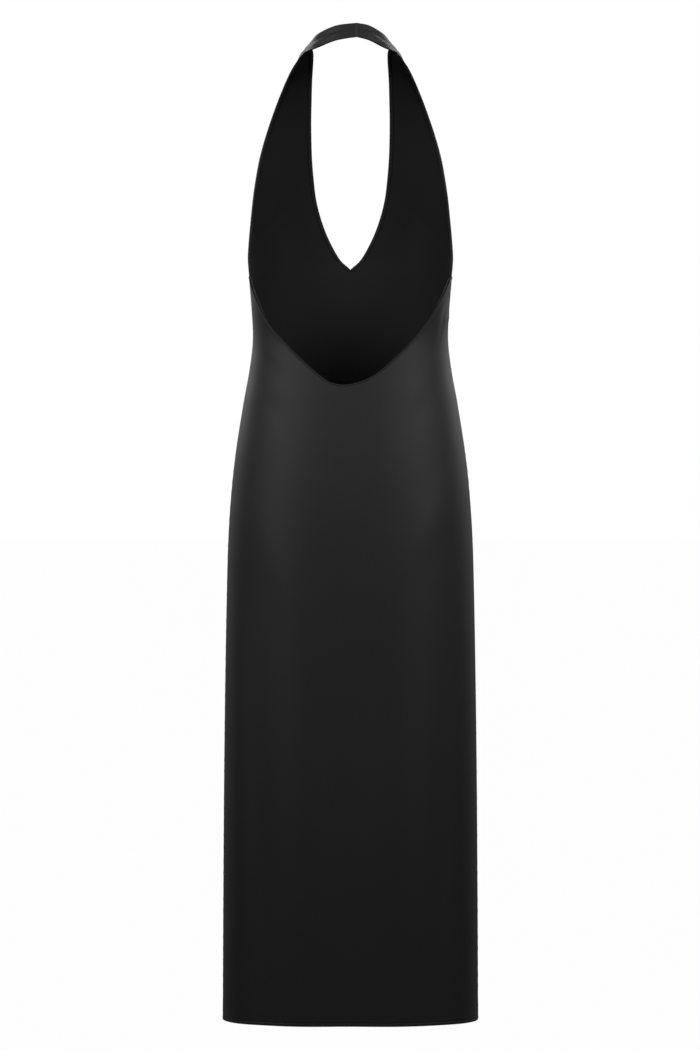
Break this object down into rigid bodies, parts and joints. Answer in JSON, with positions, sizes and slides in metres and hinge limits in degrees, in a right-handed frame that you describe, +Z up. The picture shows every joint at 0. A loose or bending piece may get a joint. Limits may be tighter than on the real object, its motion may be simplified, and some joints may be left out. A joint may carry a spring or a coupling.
{
  "type": "halter midi dress",
  "caption": "Sleeveless halter midi dress with a deep V front, straps that meet at the nape, a low scooped back and a straight skirt, held open in its worn form.",
  "frame": {"origin": "on the inside of the neck band at its mid height, at the centre of the nape, where the neck carries the dress", "axes": "+X to the wearer's left, -Y to the front, +Z up; metres"},
  "size_m": [0.3306, 0.2264, 1.2825],
  "materials": {
    "dress_cloth": "black satin-backed crepe with a soft low sheen",
    "turned_edge": "the same cloth, turned and stitched"
  },
  "bodies": {
    "root": {"front_panel": "dress_cloth", "back_panel": "dress_cloth", "neckline_edge": "turned_edge", "armhole_edge_left": "turned_edge", "armhole_edge_right": "turned_edge", "back_edge": "turned_edge", "front_hem": "turned_edge", "back_hem": "turned_edge"}
  },
  "joints": []
}
